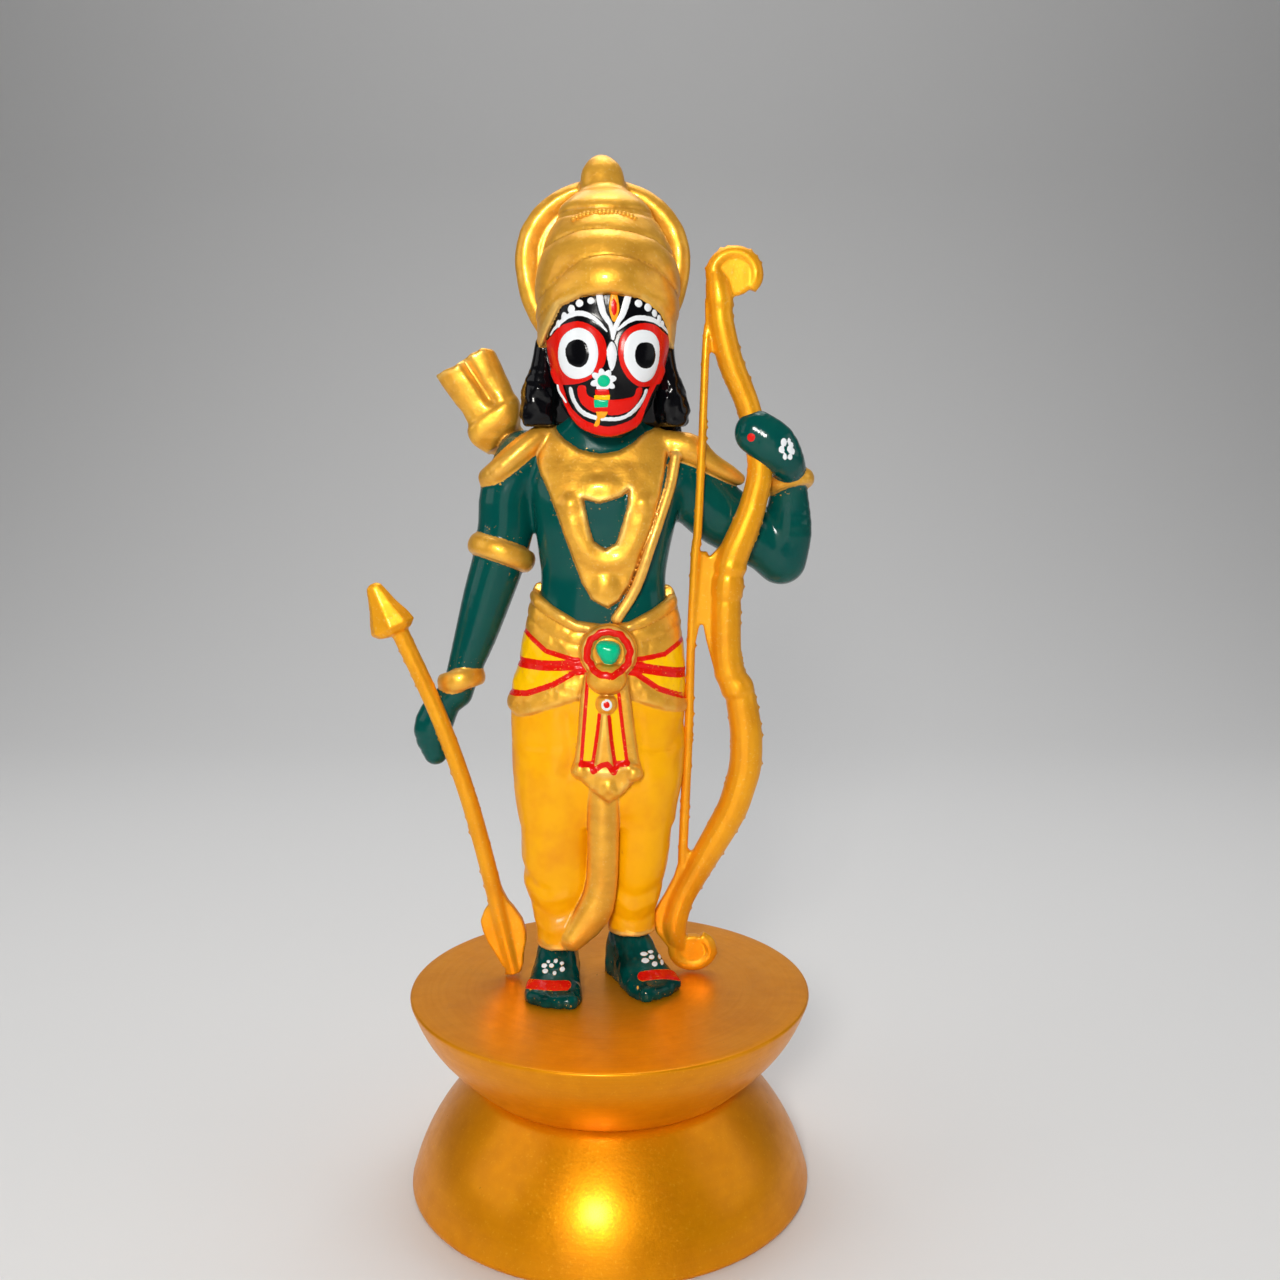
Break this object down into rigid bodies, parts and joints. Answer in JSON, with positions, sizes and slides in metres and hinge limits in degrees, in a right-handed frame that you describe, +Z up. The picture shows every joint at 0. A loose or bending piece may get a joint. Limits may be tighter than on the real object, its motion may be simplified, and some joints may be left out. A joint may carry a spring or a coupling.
{
  "type": "archer figurine",
  "caption": "Painted standing archer figurine with a bow, an arrow and a back quiver, on a plinth of two turned dishes joined at the neck.",
  "frame": {"origin": "centre of the plinth's underside", "axes": "+Z up, +X to the viewer's right as the viewer faces the figure, the figure faces -Y"},
  "size_m": [0.0652, 0.0608, 0.152],
  "materials": {
    "figure_paint": "hand-painted cast body: warm metallic gold crown, collar and trimmings, dark bottle green skin, orange-yellow cloth, black hair, with red, white and yellow details",
    "weapon_gold": "brushed warm metallic gold paint over moulded plastic with fine mould flash",
    "plinth_gold": "satin metallic gold paint over turned wood, with fine turning lines"
  },
  "bodies": {
    "root": {"figure": "figure_paint", "bow": "weapon_gold", "arrow": "weapon_gold", "plinth_top": "plinth_gold", "plinth_foot": "plinth_gold"}
  },
  "joints": []
}
